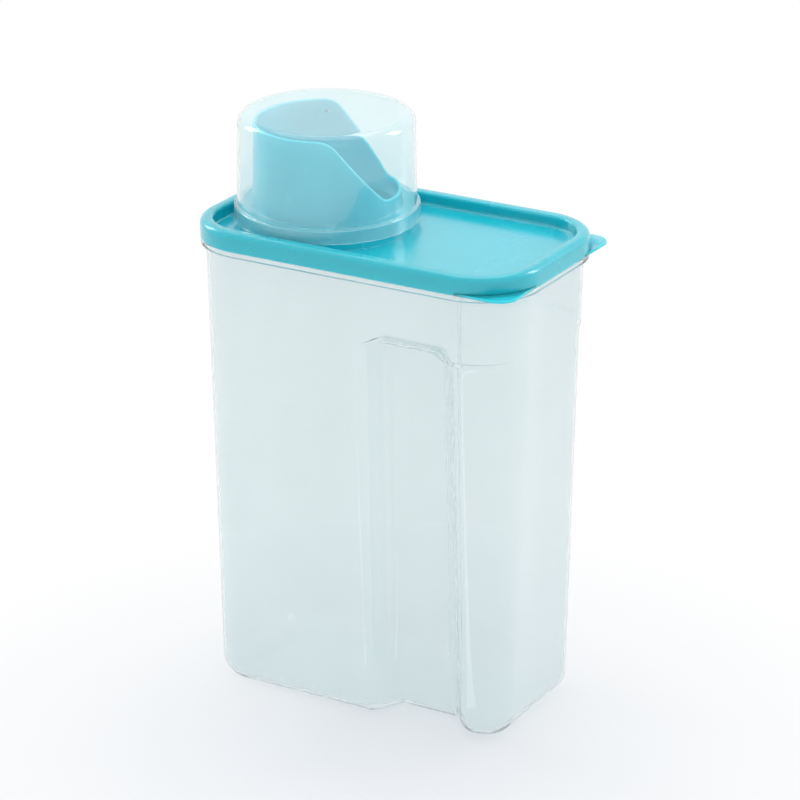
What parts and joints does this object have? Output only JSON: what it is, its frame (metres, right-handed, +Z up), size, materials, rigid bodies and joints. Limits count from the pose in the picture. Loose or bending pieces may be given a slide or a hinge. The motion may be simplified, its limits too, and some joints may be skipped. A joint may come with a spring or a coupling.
{
  "type": "laundry powder container",
  "caption": "Tall translucent storage container with grip recesses in its long sides, a coloured lid with a pouring spout, and a measuring cup over the spout.",
  "frame": {"origin": "centre of the base, on the surface that the container stands on", "axes": "+Z up, +X along the length away from the spout, +Y along the width to the back"},
  "size_m": [0.1779, 0.1048, 0.2873],
  "materials": {
    "clear_plastic": "translucent natural polypropylene, softly glossy outside",
    "lid_plastic": "satin moulded plastic, turquoise",
    "cup_plastic": "clear natural polypropylene, glossy"
  },
  "bodies": {
    "container": {"container_body": "clear_plastic"},
    "lid": {"lid": "lid_plastic"},
    "cup": {"measuring_cup": "cup_plastic"}
  },
  "joints": [
    {"name": "lid_lift", "type": "slide", "parent": "container", "child": "lid", "axis": [0, 0, 1], "range_m": [0, 0.04]},
    {"name": "cup_lift", "type": "slide", "parent": "lid", "child": "cup", "axis": [0, 0, 1], "range_m": [0, 0.07]}
  ]
}
